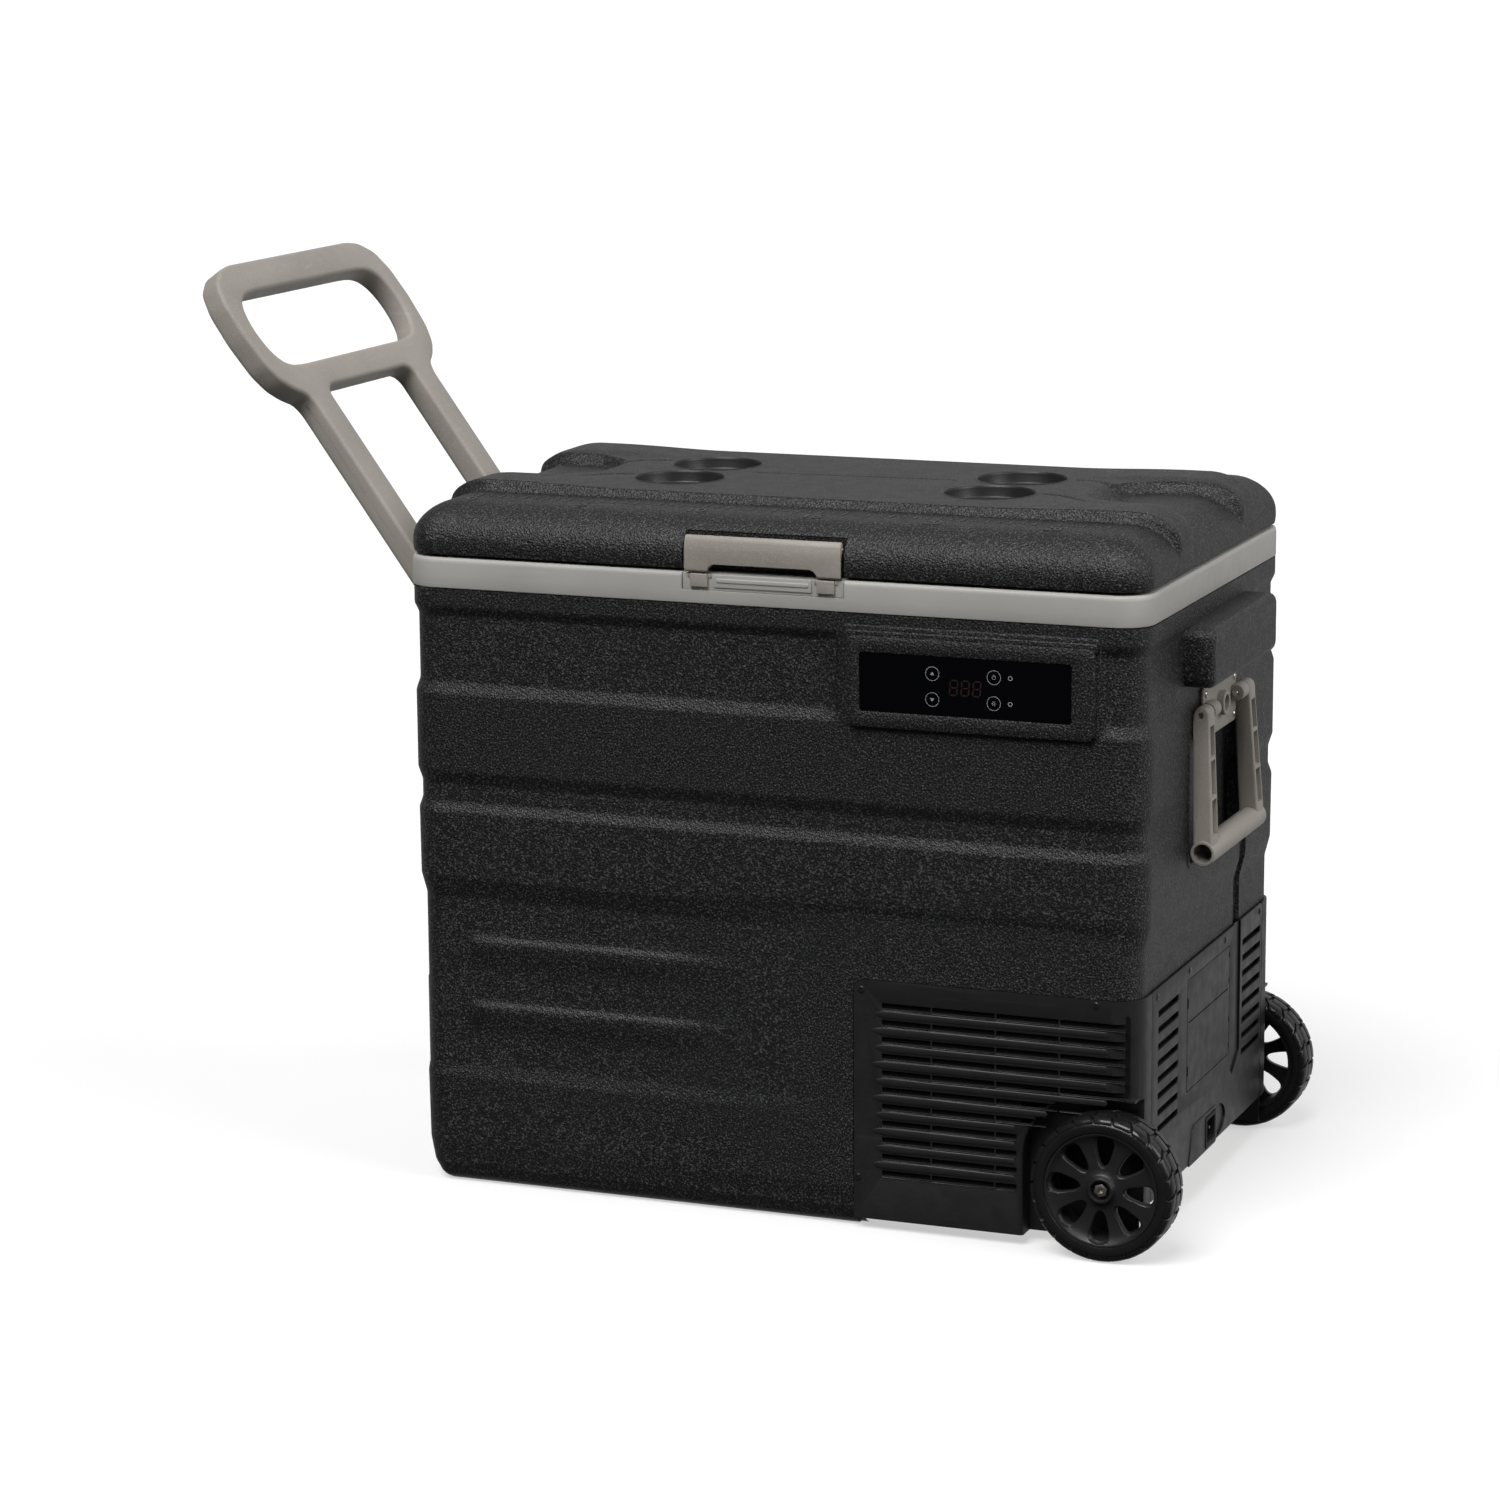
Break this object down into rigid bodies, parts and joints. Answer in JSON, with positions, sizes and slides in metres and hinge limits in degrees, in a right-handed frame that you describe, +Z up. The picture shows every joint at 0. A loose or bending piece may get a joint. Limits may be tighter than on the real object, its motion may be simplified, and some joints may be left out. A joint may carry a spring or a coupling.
{
  "type": "compressor cooler fridge",
  "caption": "Wheeled box-shaped compressor cooler with a hinged lid, latch, control panel, vented cooling bay, folding tow handle and side carry handle.",
  "frame": {"origin": "centre of the cabinet's flat underside, at the level it stands on", "axes": "+Z up, +X along the length towards the wheels, the control panel faces -Y"},
  "size_m": [1.1202, 0.5578, 0.9596],
  "materials": {
    "textured_black": "matte",
    "satin_black": "satin",
    "band_grey": "satin",
    "taupe_grey": "satin",
    "liner_white": "satin",
    "foam_yellow": "matte",
    "steel": "satin",
    "aluminium": "satin",
    "copper": "satin",
    "circuit_board": "satin",
    "gloss_black": "gloss",
    "rubber": "matte",
    "tyre": "matte",
    "lamp_white": "gloss",
    "compressor_black": "satin"
  },
  "bodies": {
    "cabinet": {"outer_shell": "textured_black", "liner": "liner_white", "foam_insulation": "foam_yellow", "evaporator_plate": "aluminium", "condenser": "aluminium", "bay_bulkhead": "steel", "base_pan": "steel", "axle": "steel", "front_wheel_bolt": "steel", "rear_wheel_bolt": "steel", "dc_pin_1": "steel", "dc_pin_2": "steel", "front_tow_pin": "steel", "rear_tow_pin": "steel", "carry_pin": "steel", "left_hinge_leaf": "steel", "right_hinge_leaf": "steel", "left_hinge_pin": "steel", "right_hinge_pin": "steel", "interior_lamp": "lamp_white", "trim_band": "band_grey", "latch_keeper": "band_grey", "display_window": "gloss_black", "control_board": "circuit_board", "power_board": "circuit_board", "digit_display": "rubber", "battery_pack": "rubber", "dc_inlet": "rubber", "compressor": "compressor_black", "fan_frame": "satin_black", "front_vent_cover": "satin_black", "rear_vent_cover": "satin_black", "end_vent_cover": "satin_black", "battery_tray": "satin_black", "suction_line": "copper", "discharge_line": "copper", "front_tow_bracket": "taupe_grey", "rear_tow_bracket": "taupe_grey", "carry_bracket": "taupe_grey"},
    "lid": {"lid_shell": "textured_black", "lid_inner_panel": "liner_white", "lid_foam": "foam_yellow", "lid_gasket": "rubber", "left_lid_wing": "steel", "right_lid_wing": "steel", "latch_pin": "steel"},
    "latch": {"latch": "taupe_grey"},
    "tow_handle": {"tow_handle": "taupe_grey"},
    "carry_handle": {"carry_handle": "taupe_grey"},
    "front_wheel": {"front_wheel_rim": "satin_black", "front_tyre": "tyre"},
    "rear_wheel": {"rear_wheel_rim": "satin_black", "rear_tyre": "tyre"},
    "key_up": {"key_up": "gloss_black"},
    "key_down": {"key_down": "gloss_black"},
    "key_power": {"key_power": "gloss_black"},
    "key_set": {"key_set": "gloss_black"},
    "battery_door": {"battery_door": "satin_black"},
    "fan_rotor": {"fan_rotor": "satin_black"}
  },
  "joints": [
    {"name": "lid_hinge", "type": "hinge", "parent": "cabinet", "child": "lid", "pos_m": [0, 0.2665, 0.6765], "axis": [-1, 0, 0], "range_deg": [0, 95]},
    {"name": "latch_hinge", "type": "hinge", "parent": "lid", "child": "latch", "pos_m": [0, -0.252, 0.7055], "axis": [-1, 0, 0], "range_deg": [0, 55]},
    {"name": "tow_handle_hinge", "type": "hinge", "parent": "cabinet", "child": "tow_handle", "pos_m": [-0.374, 0, 0.547], "axis": [0, -1, 0], "range_deg": [0, 144.1]},
    {"name": "carry_handle_hinge", "type": "hinge", "parent": "cabinet", "child": "carry_handle", "pos_m": [0.4112, 0, 0.5275], "axis": [0, -1, 0], "range_deg": [0, 90]},
    {"name": "front_wheel_spin", "type": "hinge", "parent": "cabinet", "child": "front_wheel", "pos_m": [0.367, -0.2565, 0.0755], "axis": [0, 1, 0], "continuous": true},
    {"name": "rear_wheel_spin", "type": "hinge", "parent": "cabinet", "child": "rear_wheel", "pos_m": [0.367, 0.2565, 0.0755], "axis": [0, 1, 0], "continuous": true},
    {"name": "key_up_press", "type": "slide", "parent": "cabinet", "child": "key_up", "axis": [0, 1, 0], "range_m": [0, 0.0008], "stiffness_N_per_m": 400},
    {"name": "key_down_press", "type": "slide", "parent": "cabinet", "child": "key_down", "axis": [0, 1, 0], "range_m": [0, 0.0008], "stiffness_N_per_m": 400},
    {"name": "key_power_press", "type": "slide", "parent": "cabinet", "child": "key_power", "axis": [0, 1, 0], "range_m": [0, 0.0008], "stiffness_N_per_m": 400},
    {"name": "key_set_press", "type": "slide", "parent": "cabinet", "child": "key_set", "axis": [0, 1, 0], "range_m": [0, 0.0008], "stiffness_N_per_m": 400},
    {"name": "battery_door_hinge", "type": "hinge", "parent": "cabinet", "child": "battery_door", "pos_m": [0.3985, -0.08, 0.187], "axis": [0, 0, -1], "range_deg": [0, 100]},
    {"name": "fan_spin", "type": "hinge", "parent": "cabinet", "child": "fan_rotor", "pos_m": [0.18, 0.127, 0.115], "axis": [0, 1, 0], "continuous": true}
  ]
}
